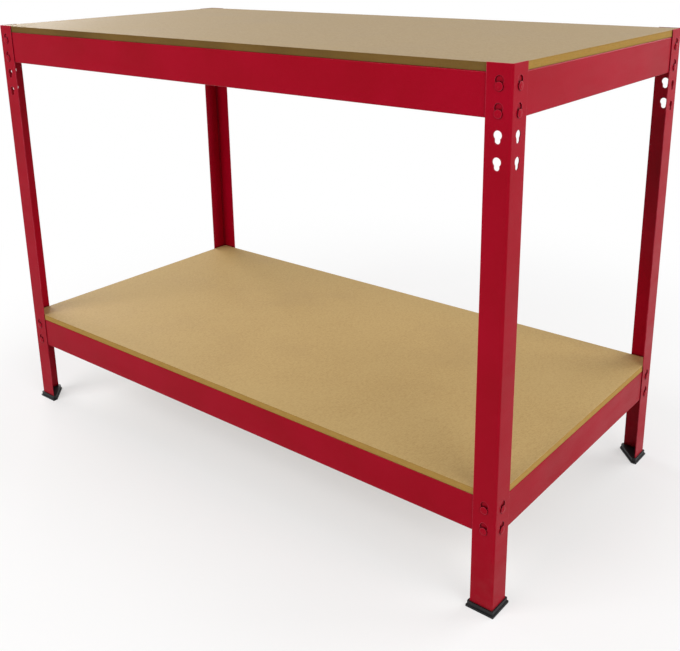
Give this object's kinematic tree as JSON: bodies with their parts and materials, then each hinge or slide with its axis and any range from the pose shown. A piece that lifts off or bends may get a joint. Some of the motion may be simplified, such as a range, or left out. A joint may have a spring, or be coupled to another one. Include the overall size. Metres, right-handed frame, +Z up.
{
  "type": "workbench",
  "caption": "Boltless workbench with a lower shelf: red angle posts with keyholes, folded beams hooked in by rivets, loose fibreboard boards and black plastic feet.",
  "frame": {"origin": "on the floor, below the middle of the bench", "axes": "+X along the bench to its right end, +Y from front to back, +Z up"},
  "size_m": [1.208, 0.608, 0.85],
  "materials": {
    "red_powder_coat": "satin",
    "fibreboard": "matte",
    "black_plastic": "matte"
  },
  "bodies": {
    "frame": {"post_front_left": "red_powder_coat", "post_front_right": "red_powder_coat", "post_back_right": "red_powder_coat", "post_back_left": "red_powder_coat", "worktop_beam_front": "red_powder_coat", "worktop_beam_right": "red_powder_coat", "worktop_beam_back": "red_powder_coat", "worktop_beam_left": "red_powder_coat", "shelf_beam_front": "red_powder_coat", "shelf_beam_right": "red_powder_coat", "shelf_beam_back": "red_powder_coat", "shelf_beam_left": "red_powder_coat", "worktop_rivets_front": "red_powder_coat", "worktop_rivets_right": "red_powder_coat", "worktop_rivets_back": "red_powder_coat", "worktop_rivets_left": "red_powder_coat", "shelf_rivets_front": "red_powder_coat", "shelf_rivets_right": "red_powder_coat", "shelf_rivets_back": "red_powder_coat", "shelf_rivets_left": "red_powder_coat", "foot_front_left": "black_plastic", "foot_front_right": "black_plastic", "foot_back_right": "black_plastic", "foot_back_left": "black_plastic"},
    "worktop": {"worktop_board": "fibreboard"},
    "lower_shelf": {"shelf_board": "fibreboard"}
  },
  "joints": [
    {"name": "worktop_lift", "type": "slide", "parent": "frame", "child": "worktop", "axis": [0, 0, 1], "range_m": [0, 0.25]},
    {"name": "shelf_lift", "type": "slide", "parent": "frame", "child": "lower_shelf", "axis": [0, 0, 1], "range_m": [0, 0.55]}
  ]
}
